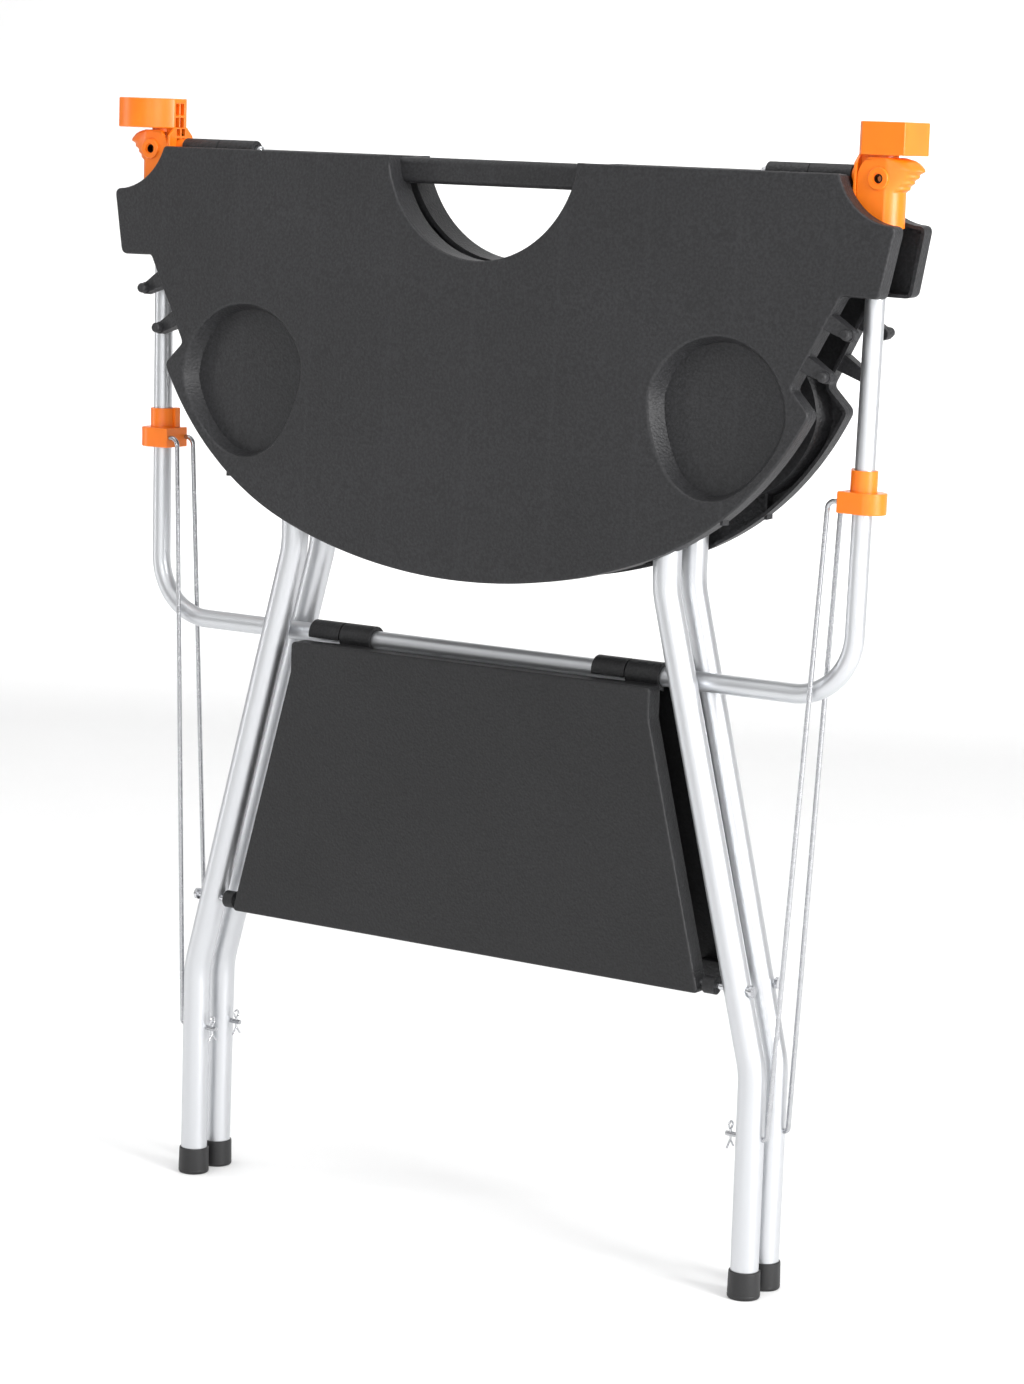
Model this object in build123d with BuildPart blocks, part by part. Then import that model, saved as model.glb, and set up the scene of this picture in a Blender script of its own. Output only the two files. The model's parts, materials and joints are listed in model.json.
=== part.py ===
from build123d import *
from math import cos, radians, sin
import os

# Folding sawhorse table, folded and standing on its four feet. Millimetres.
# X runs along the hinge line, Y to the back, Z up; the origin is on the floor
# under the middle of the hinge line. What is made for the front is turned half
# round about Z for the back.

os.makedirs("parts", exist_ok=True)

FIT = 0.05              # radial clearance of a pin or shaft in its hole
GAP = 0.3               # air between faces that pass each other
HALF_TURN = (0, 0, 180)

# Table halves
HINGE_Z = 975.0         # hinge line above the floor
PANEL_TILT = 2.48       # degrees that a hanging half leans outwards
FACE = 32.7             # hinge line to work face
RIM = 15.6              # depth of the rim wall
SKIN = 3.5
WALL = 3.0
TOP_EDGE = -0.6         # top edge below the hinge line
CORNER_X = 355.3        # upper corner, where the cut-out for the bracket starts
EAR_TOP = (411.5, -41.5)
EAR_LOW = (399.8, -102.0)
EDGE_TOP = (365.0, -101.3)      # slanting edge that carries the pegs
EDGE_LOW = (322.9, -180.7)
TOOTH = (342.6, -200.8)
JOIN = (187.2, -339.0)  # where the two arcs of the lower edge meet
BOTTOM_V = -372.6
EAR_FILLET = 6.0
JOIN_FILLET = 120.0
CUP_X = 253.0
CUP_V = -209.0
CUP_R = 69.6
CUP_DEPTH = 14.0
SLOT_R = 100.6
SLOT_V = 11.2
SLOT_WALL = 4.0
SLOT_BACK = 4.0         # hinge line to the back edge of the slot's wall
BAR_V = -23.6           # underside of the carrying bar
KNUCKLE_R = 8.5
KNUCKLE_IN = 271.0
KNUCKLE_MID = 312.0
KNUCKLE_OUT = 353.0
HINGE_PIN_R = 4.0
ARM_SLOPE = -26.8       # the peg arms stand square to the slanting edge
PEGS = ((372.0, -132.6), (353.0, -168.6))

# Folding linkage: the table half and the shelf are cranks of the same length
CRANK_Y = 22.8
CRANK_Z = 260.0
BAR_Z = 534.0

# Legs
LEG_R = 12.45
LEG_WALL = 1.2
LEG_FLOOR_Y = 17.8
LEG_LEAN = (CRANK_Y - LEG_FLOOR_Y) / (HINGE_Z - CRANK_Z)
LEG_TOP_X = 200.0
LEG_FOOT_X = 305.0
LEG_BEND_HIGH = 614.0
LEG_BEND_LOW = 202.0
RAIL_Z = HINGE_Z - CRANK_Z
FOOT_R = 14.6
FOOT_H = 25.0

# Centre frame
FRAME_R = 8.6
FRAME_WALL = 1.2
FRAME_BEND = 56.0
UPRIGHT_X = 375.5       # at COLLAR_REF_Z
COLLAR_REF_Z = 720.0
SPLAY = 0.0138          # the uprights open outwards by this much per mm
FRAME_TOP = 985.0

# Shelves
SHELF_Y = 33.4
SHELF_DEPTH = 18.0
SHELF_SKIN = 3.0
CLIP_X = (-137.0, 172.0)
CLIP_WIDTH = 34.0
CLIP_TOP = -5.8         # top of a clip's arm from the bar's axis, level with the tray's top wall
CLIP_DEEP = 5.7
CLIP_WALL = 4.0
SHELF_PIN_R = 3.0
SHELF_PIN_Z = BAR_Z - CRANK_Z

# Slide collars and brace rods
FLANGE_Z = 693.4
FLANGE_H = 18.4
FLANGE_IN = 358.0
FLANGE_OUT = 396.0
NECK_R = 11.5
NECK_TOP = 730.0
ROD_R = 2.2
ROD_PIN_Z = 144.0
ROD_TOP_Z = 703.0
ROD_TOP_X = 348.5
ROD_TOP_Y = 12.0
ROD_END_X = 281.0       # tip of the rod inside the leg
SPLIT_X = 285.5         # split pin through the rod's tip
SPLIT_R = 1.1

# End brackets and lock levers
END_X = 418.0           # outermost reach of the left stop and of both levers
PIVOT_X = 383.5
PIVOT_Z = 972.7
LEVER_PIN_R = 3.8
BLOCK_Z = 992.0
BLOCK_TOP = 1019.5
ARM_X = 362.0
ARM_HALF = 9.0
SOCKET_R = 12.5
SOCKET_Z = 950.0
PLATE_IN = 360.6        # thin plate on the inner side of a bracket's arm
PLATE_OUT = 363.2
PLATE_HALF = 17.5
PLATE_LOW = 938.0
PLATE_HIGH = 985.0
LEVER_HALF = 16.5
RING_R = 9.4            # raised ring round the lever's pivot
RING_H = 1.8
LEVER_WALL = 2.8
LEVER_Z = 932.0


def upright_x(z):
    return UPRIGHT_X + SPLAY * (z - COLLAR_REF_Z)


# Frame of a hanging front half: x along the hinge, y up the panel, z out of its face
HANG = Plane(
    origin=(0, 0, HINGE_Z),
    x_dir=(1, 0, 0),
    z_dir=(0, -cos(radians(PANEL_TILT)), sin(radians(PANEL_TILT))),
)
OUT = HANG.z_dir
BACK = FACE - RIM       # back edge of the rim, measured from the hinge line
INNER = FACE - SKIN     # inside of the skin
RAIL_V = -CRANK_Y * sin(radians(PANEL_TILT)) - CRANK_Z * cos(radians(PANEL_TILT))

# Frame of the front leg: y up the leg, which leans forwards by LEG_LEAN
LEG_PLANE = Plane(origin=(0, -LEG_FLOOR_Y, 0), x_dir=(1, 0, 0), z_dir=(0, -1, -LEG_LEAN))


def finish(name, piece):
    """Label a piece and write it to its own file."""
    piece.part.label = name
    export_step(piece.part, "parts/" + name + ".step")


def turned(piece):
    """The same piece at the back: turned half round about Z."""
    with BuildPart() as copy:
        add(piece.part, rotation=HALF_TURN)
    return copy


def mirrored(piece):
    """The same piece on the left: mirrored across X = 0."""
    with BuildPart() as copy:
        add(piece.part)
        mirror(about=Plane.YZ, mode=Mode.REPLACE)
    return copy


# ---------------------------------------------------------------- table halves


def half_outline(plane, inset=0.0):
    """Outline of a table half: straight top, notched ends, round lower edge."""
    with BuildSketch(plane) as outline:
        with BuildLine():
            Line((0, TOP_EDGE), (CORNER_X, TOP_EDGE))
            ThreePointArc((CORNER_X, TOP_EDGE), (368.5, -23.5), EAR_TOP)
            Polyline(EAR_TOP, EAR_LOW, EDGE_TOP, EDGE_LOW, TOOTH)
            ThreePointArc(TOOTH, (300.4, -262.6), JOIN)
            ThreePointArc(JOIN, (95.0, -364.2), (0, BOTTOM_V))
            mirror(about=Plane.YZ)
        make_face()
        corners = outline.vertices()
        ears = corners.filter_by(lambda v: abs(v.X) > 390 or abs(abs(v.X) - TOOTH[0]) < 1)
        fillet(ears, EAR_FILLET)
        joins = outline.vertices().filter_by(lambda v: abs(abs(v.X) - JOIN[0]) < 0.5)
        fillet(joins, JOIN_FILLET)
        if inset:
            offset(amount=-inset, mode=Mode.REPLACE)
    return outline.sketch


def cup_outline(plane, grow=0.0):
    """Two egg-shaped cup recesses, round above and narrowing below."""
    side = CUP_R + grow
    with BuildSketch(plane) as cups:
        with Locations((-CUP_X, CUP_V), (CUP_X, CUP_V)):
            with BuildLine(mode=Mode.PRIVATE) as egg:
                ThreePointArc((-side, 0), (0, side), (side, 0))
                ThreePointArc((side, 0), (side * 0.74, -side * 0.6), (side * 0.2, -side * 0.965))
                ThreePointArc((side * 0.2, -side * 0.965), (0, -side), (-side * 0.2, -side * 0.965))
                ThreePointArc((-side * 0.2, -side * 0.965), (-side * 0.74, -side * 0.6), (-side, 0))
            add(make_face(egg.edges(), mode=Mode.PRIVATE))
    return cups.sketch


def slot_outline(plane, grow=0.0):
    """Half-round hand slot that hangs from the top edge."""
    with BuildSketch(plane) as slot:
        with Locations((0, SLOT_V)):
            Circle(SLOT_R + grow)
        with Locations((0, TOP_EDGE)):
            Rectangle(4 * SLOT_R, 2 * SLOT_R, align=(Align.CENTER, Align.MIN), mode=Mode.SUBTRACT)
    return slot.sketch


def table_half():
    """Moulded work top: skin, rim, cups, hand slot, ribs, rail saddles, pegs and knuckles."""
    with BuildPart() as half:
        add(half_outline(HANG.offset(BACK)))
        extrude(amount=RIM, dir=OUT)
        add(half_outline(HANG.offset(BACK), WALL))
        extrude(amount=RIM - SKIN, dir=OUT, mode=Mode.SUBTRACT)

        # Ribs behind the skin
        with Locations(HANG.offset((BACK + INNER) / 2)):
            with Locations((-150, -120), (-105, -165), (105, -165), (150, -120)):
                Box(2.5, 150, INNER - BACK)
            with Locations((0, -236)):
                Box(450, 2.5, INNER - BACK)

        # Cup recesses with their own floor and wall
        add(cup_outline(HANG.offset(FACE - CUP_DEPTH - WALL), WALL))
        extrude(amount=CUP_DEPTH, dir=OUT)
        add(cup_outline(HANG.offset(FACE - CUP_DEPTH)))
        extrude(amount=CUP_DEPTH, dir=OUT, mode=Mode.SUBTRACT)

        # Hand slot with a deep wall round it and the carrying bar across its top
        add(slot_outline(HANG.offset(SLOT_BACK), SLOT_WALL))
        extrude(amount=FACE - SLOT_BACK, dir=OUT)
        add(slot_outline(HANG.offset(-1)))
        extrude(amount=FACE + 2, dir=OUT, mode=Mode.SUBTRACT)
        with BuildSketch(Plane.YZ.offset(-SLOT_R)):
            with Locations((-GAP * 2 - 7.5, HINGE_Z + (TOP_EDGE + BAR_V) / 2)):
                RectangleRounded(13.0, TOP_EDGE - BAR_V, 5.5)
        extrude(amount=2 * SLOT_R, dir=(1, 0, 0))

        # Saddles that the leg rail turns in
        with Locations(HANG.offset((INNER - 4.5) / 2)):
            with Locations((-120, RAIL_V), (120, RAIL_V)):
                Box(30, 40, INNER + 4.5)
        with Locations(Location((0, -CRANK_Y, RAIL_Z), (0, 90, 0))):
            Cylinder(LEG_R + FIT, 300, mode=Mode.SUBTRACT)

        # Notches in the rim where the folded legs lie
        with Locations(HANG.offset(BACK + 1)):
            with Locations((-LEG_TOP_X, -340), (LEG_TOP_X, -340)):
                Box(32, 60, 8.6, mode=Mode.SUBTRACT)

        # Two arms on each slanting edge, each with a peg across its end
        for side in (-1, 1):
            for x, v in PEGS:
                root = Location((side * (x - 9.8), v + 5.0, 0), (0, 0, side * ARM_SLOPE))
                with Locations(HANG.offset(BACK + 7)):
                    with Locations(root):
                        Box(26, 10, 12)
                with Locations(HANG.offset(26)):
                    with Locations((side * x, v)):
                        Cylinder(4.6, 22)

        # Hinge knuckles on their webs
        for low, high in ((-KNUCKLE_MID, -KNUCKLE_IN), (KNUCKLE_MID, KNUCKLE_OUT)):
            middle = (low + high) / 2
            width = high - low - GAP
            with Locations(HANG.offset(10)):
                with Locations((middle, -5.0)):
                    Box(width, 7.0, 20)
            with Locations(Location((middle, 0, HINGE_Z), (0, 90, 0))):
                Cylinder(KNUCKLE_R, width)
                Cylinder(HINGE_PIN_R + FIT, 2 * width, mode=Mode.SUBTRACT)
    return half


def saddle_screws():
    """Round-headed screws that fasten the saddle keepers from the inside."""
    with BuildPart() as screws:
        with Locations(HANG.offset(-6.1)):
            with Locations(
                (-120, RAIL_V - 16.5), (-120, RAIL_V + 16.5), (120, RAIL_V - 16.5), (120, RAIL_V + 16.5)
            ):
                Cylinder(3.2, 3.0)
    return screws


# ------------------------------------------------------------------------ legs


def leg_tube():
    """One bent tube: rail at the top, two legs that spread and then stand upright."""
    right = [(LEG_TOP_X, RAIL_Z), (LEG_TOP_X, LEG_BEND_HIGH), (LEG_FOOT_X, LEG_BEND_LOW), (LEG_FOOT_X, 3.0)]
    left = [(-x, z) for x, z in reversed(right)]
    with BuildPart() as tube:
        with BuildLine(LEG_PLANE) as path:
            FilletPolyline(*left, *right, radius=[90, 90, 45, 45, 90, 90])
        with BuildSketch(Plane(origin=path.line @ 0, z_dir=path.line % 0)):
            Circle(LEG_R)
            Circle(LEG_R - LEG_WALL, mode=Mode.SUBTRACT)
        sweep()
        # Cross holes for the shelf pins and the brace rods
        with Locations(Location((0, -CRANK_Y, SHELF_PIN_Z), (0, 90, 0))):
            Cylinder(SHELF_PIN_R + FIT, 700, mode=Mode.SUBTRACT)
        with Locations(Location((0, rod_pin_y(), ROD_PIN_Z), (0, 90, 0))):
            Cylinder(ROD_R + FIT, 700, mode=Mode.SUBTRACT)
    return tube


def rod_pin_y():
    return -(LEG_FLOOR_Y + LEG_LEAN * ROD_PIN_Z)


def foot_cap():
    """Slip-on foot with a flat bottom and a bore that follows the leg's lean."""
    lean = Plane(origin=(LEG_FOOT_X, -LEG_FLOOR_Y, 3.0), z_dir=(0, -LEG_LEAN, 1))
    with BuildPart() as foot:
        with Locations((LEG_FOOT_X, -LEG_FLOOR_Y, 0)):
            Cylinder(FOOT_R, FOOT_H, align=(Align.CENTER, Align.CENTER, Align.MIN))
        fillet(foot.edges().filter_by(GeomType.CIRCLE).sort_by(Axis.Z)[-1], 1.2)
        fillet(foot.edges().filter_by(GeomType.CIRCLE).sort_by(Axis.Z)[0], 1.5)
        with Locations(lean):
            Cylinder(LEG_R + FIT, 40, align=(Align.CENTER, Align.CENTER, Align.MIN), mode=Mode.SUBTRACT)
    return foot


# ---------------------------------------------------------------- centre frame


def frame_tube():
    """U-shaped tube: two splayed uprights and the bar that the shelves hang on."""
    corner = upright_x(BAR_Z)
    top = upright_x(FRAME_TOP)
    with BuildPart() as tube:
        with BuildLine(Plane.XZ) as path:
            FilletPolyline(
                (-top, FRAME_TOP), (-corner, BAR_Z), (corner, BAR_Z), (top, FRAME_TOP), radius=FRAME_BEND
            )
        with BuildSketch(Plane(origin=path.line @ 0, z_dir=path.line % 0)):
            Circle(FRAME_R)
            Circle(FRAME_R - FRAME_WALL, mode=Mode.SUBTRACT)
        sweep()
        with Locations(Location((-PIVOT_X, 0, PIVOT_Z), (90, 0, 0)), Location((PIVOT_X, 0, PIVOT_Z), (90, 0, 0))):
            Cylinder(LEVER_PIN_R + FIT, 40, mode=Mode.SUBTRACT)
    return tube


def upright_plane(z):
    """Plane across the right upright at height z, square to its splay."""
    return Plane(origin=(upright_x(z), 0, z), x_dir=(1, 0, -SPLAY), z_dir=(SPLAY, 0, 1))


def end_bracket(block_points, bulge):
    """Bracket on top of an upright: end stop, ribbed arm, tube socket and hinge boss."""
    with BuildPart() as bracket:
        # End stop above the table, its corners eased
        with BuildSketch(Plane.XY.offset(BLOCK_Z)) as plan:
            with BuildLine():
                if bulge:
                    Polyline(block_points[-1], *block_points[:1])
                    ThreePointArc(block_points[0], bulge[0], block_points[1])
                    Line(block_points[1], block_points[2])
                    ThreePointArc(block_points[2], bulge[1], block_points[3])
                else:
                    Polyline(*block_points, close=True)
            make_face()
            fillet(plan.vertices().sort_by(Axis.X)[-2:], 3.0)
        extrude(amount=BLOCK_TOP - BLOCK_Z)

        # Arm and socket round the tube end
        with Locations(((ARM_X + upright_x(SOCKET_Z)) / 2, 0, (SOCKET_Z + BLOCK_Z) / 2)):
            Box(upright_x(SOCKET_Z) - ARM_X, 2 * ARM_HALF, BLOCK_Z - SOCKET_Z)
        with Locations(upright_plane(SOCKET_Z)):
            Cylinder(SOCKET_R, BLOCK_Z - SOCKET_Z, align=(Align.CENTER, Align.CENTER, Align.MIN))
        with Locations(upright_plane(SOCKET_Z - 5)):
            Cylinder(
                FRAME_R + FIT, FRAME_TOP - SOCKET_Z + 5.2,
                align=(Align.CENTER, Align.CENTER, Align.MIN), mode=Mode.SUBTRACT,
            )

        # Thin plate on the inner side of the arm
        with BuildSketch(Plane.YZ.offset(PLATE_IN)):
            with BuildLine():
                Polyline(
                    (-PLATE_HALF, PLATE_LOW), (-PLATE_HALF, PLATE_HIGH), (-ARM_HALF, BLOCK_Z + 1),
                    (ARM_HALF, BLOCK_Z + 1), (PLATE_HALF, PLATE_HIGH), (PLATE_HALF, PLATE_LOW), close=True,
                )
            make_face()
        extrude(amount=PLATE_OUT - PLATE_IN, dir=(1, 0, 0))

        # Hinge boss and its hole
        with Locations(Location(((KNUCKLE_OUT + GAP + ARM_X) / 2, 0, HINGE_Z), (0, 90, 0))):
            Cylinder(7.5, ARM_X - KNUCKLE_OUT - GAP)
        with Locations(Location((ARM_X - 2, 0, HINGE_Z), (0, 90, 0))):
            Cylinder(HINGE_PIN_R + FIT, 16, mode=Mode.SUBTRACT)

        # Cross hole for the lever pin
        with Locations(Location((PIVOT_X, 0, PIVOT_Z), (90, 0, 0))):
            Cylinder(LEVER_PIN_R + FIT, 60, mode=Mode.SUBTRACT)

        # Moulding pockets in the end of the arm
        for low, high in ((1004.2, 1014.6), (985.3, 1001.7)):
            with Locations((ARM_X, -3.6, (low + high) / 2), (ARM_X, 3.6, (low + high) / 2)):
                Box(14, 5.2, high - low, mode=Mode.SUBTRACT)
    return bracket


def lock_lever():
    """Lever that hooks over the risen collar: two cheeks, an outer web and finger ridges."""
    with BuildPart() as lever:
        with BuildSketch(Plane.XZ) as profile:
            with BuildLine():
                ThreePointArc((PIVOT_X - 20, PIVOT_Z), (PIVOT_X - 14.14, PIVOT_Z + 12.6), (PIVOT_X, 990.4))
                Polyline(
                    (PIVOT_X, 990.4), (408, 988.0), (412.5, 986.0), (END_X, 979.5), (412, 977.0), (412, 974.5),
                    (408, 972.0), (408, 969.5), (404, 967.0), (404, 964.5), (399.5, 962.0),
                    (399.5, LEVER_Z), (PIVOT_X - 20, LEVER_Z), (PIVOT_X - 20, PIVOT_Z),
                )
            make_face()
        extrude(amount=LEVER_HALF, both=True)
        # Channel open to the inside, the top and the bottom
        inside = LEVER_HALF - LEVER_WALL
        with Locations(((PIVOT_X - 22 + 396.4) / 2, 0, (LEVER_Z + 992) / 2)):
            Box(396.4 - PIVOT_X + 22, 2 * inside, 992 - LEVER_Z + 2, mode=Mode.SUBTRACT)
        # Raised ring round the pivot on both cheeks
        with Locations(Location((PIVOT_X, 0, PIVOT_Z), (90, 0, 0))):
            Cylinder(RING_R, 2 * (LEVER_HALF + RING_H))
            Cylinder(RING_R + 1, 2 * inside, mode=Mode.SUBTRACT)
            Cylinder(LEVER_PIN_R + FIT, 60, mode=Mode.SUBTRACT)
    return lever


def lever_pin():
    """Hollow pin through lever, bracket and tube."""
    with BuildPart() as pin:
        with Locations(Location((PIVOT_X, 0, PIVOT_Z), (90, 0, 0))):
            Cylinder(LEVER_PIN_R, 2 * LEVER_HALF)
            Cylinder(LEVER_PIN_R - 1.0, 2 * LEVER_HALF, mode=Mode.SUBTRACT)
    return pin


def hinge_pin():
    """Steel pin from the bracket's boss through both knuckles, with a domed end."""
    start = KNUCKLE_IN - 7.0
    end = ARM_X + 5.9
    with BuildPart() as pin:
        with Locations(Location(((start + end) / 2, 0, HINGE_Z), (0, 90, 0))):
            Cylinder(HINGE_PIN_R, end - start)
        fillet(pin.edges().filter_by(GeomType.CIRCLE).sort_by(Axis.X)[0], 2.5)
    return pin


# --------------------------------------------------- slide collars, brace rods


def slide_collar():
    """Collar that rides up the upright: flange for the rods, neck and catch lug."""
    base = upright_plane(FLANGE_Z)
    centre = upright_x(FLANGE_Z)
    inner = FLANGE_IN - centre
    outer = FLANGE_OUT - centre
    half = 15.6
    with BuildPart() as collar:
        with BuildSketch(base):
            with BuildLine():
                Polyline((outer - half, half), (inner, half), (inner, -half), (outer - half, -half))
                ThreePointArc((outer - half, -half), (outer, 0), (outer - half, half))
            make_face()
        extrude(amount=FLANGE_H)
        with BuildSketch(base.offset(FLANGE_H)):
            Circle(NECK_R)
        extrude(amount=NECK_TOP - FLANGE_Z - FLANGE_H)
        # Catch lug outside and snap tongue inside
        with Locations(base.offset(27)):
            with Locations((NECK_R + 0.7, 0)):
                Box(6.6, 12, 6.5)
            with Locations((-NECK_R - 0.4, 5)):
                Box(4.0, 8, 19)
        with Locations(base.offset(-1)):
            Cylinder(
                FRAME_R + FIT, NECK_TOP - FLANGE_Z + 4,
                align=(Align.CENTER, Align.CENTER, Align.MIN), mode=Mode.SUBTRACT,
            )
    return collar


def brace_rod():
    """Round rod: through the leg below, bent over to the collar above."""
    y = rod_pin_y()
    out = LEG_FOOT_X + LEG_R + 4.2
    with BuildPart() as rod:
        with BuildLine() as path:
            FilletPolyline(
                (ROD_END_X, y, ROD_PIN_Z), (out, y, ROD_PIN_Z),
                (ROD_TOP_X, -ROD_TOP_Y, ROD_TOP_Z), (FLANGE_IN - GAP, -ROD_TOP_Y, ROD_TOP_Z),
                radius=[4.0, 7.0],
            )
        with BuildSketch(Plane(origin=path.line @ 0, z_dir=path.line % 0)):
            Circle(ROD_R)
        sweep()
        with Locations((SPLIT_X, y, ROD_PIN_Z)):
            Cylinder(SPLIT_R + FIT, 10, mode=Mode.SUBTRACT)
    return rod


def split_pin():
    """Split pin that keeps the rod in the leg: an eye above, two spread prongs below."""
    y = rod_pin_y()
    with BuildPart() as pin:
        with Locations((SPLIT_X, y, ROD_PIN_Z)):
            Cylinder(SPLIT_R, 11)
        with Locations(Location((SPLIT_X, y, ROD_PIN_Z + 8.0), (0, 90, 0))):
            Torus(3.2, 0.9)
        for tilt in (-40, 40):
            prong = Location((SPLIT_X, y, ROD_PIN_Z - 5.0), (180 + tilt, 0, 0))
            with Locations(prong):
                Cylinder(0.9, 9.0, align=(Align.CENTER, Align.CENTER, Align.MIN))
    return pin


# --------------------------------------------------------------------- shelves


def shelf_outline(plane, inset=0.0):
    with BuildSketch(plane) as outline:
        with BuildLine():
            Polyline((193.6, 528.5), (193.6, 500.4), (254.3, 266.0), (-254.3, 266.0), (-193.6, 500.4),
                     (-193.6, 528.5), close=True)
        make_face()
        if inset:
            offset(amount=-inset, kind=Kind.INTERSECTION, mode=Mode.REPLACE)
        else:
            fillet(outline.vertices(), 4.0)
    return outline.sketch


def shelf():
    """Tray half that hooks on the bar and is pinned to the legs at its lower corners."""
    with BuildPart() as tray:
        add(shelf_outline(Plane.XZ.offset(SHELF_Y)))
        extrude(amount=SHELF_DEPTH, dir=(0, 1, 0))
        add(shelf_outline(Plane.XZ.offset(SHELF_Y - SHELF_SKIN), WALL))
        extrude(amount=SHELF_DEPTH, dir=(0, 1, 0), mode=Mode.SUBTRACT)
        # Ribs and pin bosses
        middle_y = -(SHELF_Y + SHELF_Y - SHELF_DEPTH) / 2
        with Locations((-90, middle_y, 395), (0, middle_y, 395), (90, middle_y, 395)):
            Box(2.5, SHELF_DEPTH - 0.4, 255)
        with Locations((-237.5, middle_y, 276.5), (237.5, middle_y, 276.5)):
            Box(26, SHELF_DEPTH - 0.4, 17)
        # Clips: arm under the shelf's top wall and a hook round the bar
        for x in CLIP_X:
            with Locations((x, -2, BAR_Z + CLIP_TOP)):
                Box(CLIP_WIDTH, 28, CLIP_DEEP, align=(Align.CENTER, Align.MAX, Align.MAX))
            with Locations(Location((x, 0, BAR_Z), (0, 90, 0))):
                Cylinder(FRAME_R + CLIP_WALL, CLIP_WIDTH)
        with Locations(Location((0, 0, BAR_Z), (0, 90, 0))):
            Cylinder(FRAME_R + FIT, 500, mode=Mode.SUBTRACT)
        with Locations((0, 6, BAR_Z - 11)):
            Box(500, 14, 16, mode=Mode.SUBTRACT)
        with Locations(Location((0, -CRANK_Y, SHELF_PIN_Z), (0, 90, 0))):
            Cylinder(SHELF_PIN_R + FIT, 600, mode=Mode.SUBTRACT)
    return tray


def shelf_pins():
    """Two headed pins through the shelf's corners and the legs."""
    with BuildPart() as pins:
        for side in (-1, 1):
            with Locations(Location((side * 266.5, -CRANK_Y, SHELF_PIN_Z), (0, 90, 0))):
                Cylinder(SHELF_PIN_R, 70)
            with Locations(Location((side * 302.9, -CRANK_Y, SHELF_PIN_Z), (0, 90, 0))):
                Cylinder(5.2, 3.0)
    return pins


def pin_washers():
    """Plastic washers between the shelf's corners and the legs."""
    with BuildPart() as washers:
        for side in (-1, 1):
            with Locations(Location((side * 262.5, -CRANK_Y, SHELF_PIN_Z), (0, 90, 0))):
                Cylinder(8.0, 11.0)
                Cylinder(SHELF_PIN_R + FIT, 14.0, mode=Mode.SUBTRACT)
    return washers


# ---------------------------------------------------------------------- making

half = table_half()
finish("front_table_half", half)
finish("rear_table_half", turned(half))
screws = saddle_screws()
finish("front_saddle_screws", screws)
finish("rear_saddle_screws", turned(screws))

leg = leg_tube()
finish("front_leg_tube", leg)
finish("rear_leg_tube", turned(leg))
foot = foot_cap()
left_foot = mirrored(foot)
finish("front_right_foot", foot)
finish("front_left_foot", left_foot)
finish("rear_right_foot", turned(left_foot))
finish("rear_left_foot", turned(foot))

finish("centre_frame_tube", frame_tube())
RIGHT_BLOCK = [(ARM_X, -12), (368, -20), (408, -20), (408, 25), (378, 25), (ARM_X, ARM_HALF)]
LEFT_BLOCK = [(ARM_X, -ARM_HALF), (END_X, -22), (END_X, 22), (ARM_X, ARM_HALF)]
LEFT_BULGE = [(388, -27), (388, 27)]
finish("right_end_bracket", end_bracket(RIGHT_BLOCK, None))
finish("left_end_bracket", mirrored(end_bracket(LEFT_BLOCK, LEFT_BULGE)))
lever = lock_lever()
finish("right_lock_lever", lever)
finish("left_lock_lever", mirrored(lever))
pin = lever_pin()
finish("right_lever_pin", pin)
finish("left_lever_pin", mirrored(pin))
pin = hinge_pin()
finish("right_hinge_pin", pin)
finish("left_hinge_pin", mirrored(pin))

collar = slide_collar()
finish("right_slide_collar", collar)
finish("left_slide_collar", mirrored(collar))
rod = brace_rod()
left_rod = mirrored(rod)
finish("front_right_brace_rod", rod)
finish("front_left_brace_rod", left_rod)
finish("rear_right_brace_rod", turned(left_rod))
finish("rear_left_brace_rod", turned(rod))

pin = split_pin()
left_pin = mirrored(pin)
finish("front_right_split_pin", pin)
finish("front_left_split_pin", left_pin)
finish("rear_right_split_pin", turned(left_pin))
finish("rear_left_split_pin", turned(pin))

tray = shelf()
finish("front_shelf", tray)
finish("rear_shelf", turned(tray))
pins = shelf_pins()
finish("front_shelf_pins", pins)
finish("rear_shelf_pins", turned(pins))
washers = pin_washers()
finish("front_pin_washers", washers)
finish("rear_pin_washers", turned(washers))
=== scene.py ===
"""Looks of a folding sawhorse table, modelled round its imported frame. Outlines are in millimetres."""
import json
from math import cos, degrees, pi, radians, sin, tan

import bpy
from mathutils import Matrix, Vector


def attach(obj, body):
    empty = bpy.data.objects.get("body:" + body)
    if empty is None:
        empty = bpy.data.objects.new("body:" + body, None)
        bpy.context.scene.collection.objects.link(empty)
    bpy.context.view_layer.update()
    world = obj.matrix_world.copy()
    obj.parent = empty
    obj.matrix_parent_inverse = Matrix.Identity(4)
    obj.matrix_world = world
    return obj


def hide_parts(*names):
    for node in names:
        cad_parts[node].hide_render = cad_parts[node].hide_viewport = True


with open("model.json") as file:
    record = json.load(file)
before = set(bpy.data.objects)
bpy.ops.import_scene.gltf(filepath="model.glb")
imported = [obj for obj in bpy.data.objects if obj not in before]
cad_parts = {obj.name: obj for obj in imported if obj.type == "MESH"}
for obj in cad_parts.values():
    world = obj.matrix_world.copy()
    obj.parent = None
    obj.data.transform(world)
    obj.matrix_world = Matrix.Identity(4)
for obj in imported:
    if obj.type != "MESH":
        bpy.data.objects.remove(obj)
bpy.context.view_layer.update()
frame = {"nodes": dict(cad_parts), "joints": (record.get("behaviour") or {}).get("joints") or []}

bl_info = {
    "name": "Folding sawhorse table",
    "version": (1, 0, 0),
    "blender": (4, 5, 0),
    "location": "3D View > Sidebar > Sawhorse",
    "description": "Models a folding sawhorse table with its moulded tops, tubes, shelves and fittings",
    "category": "Add Mesh",
}

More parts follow.
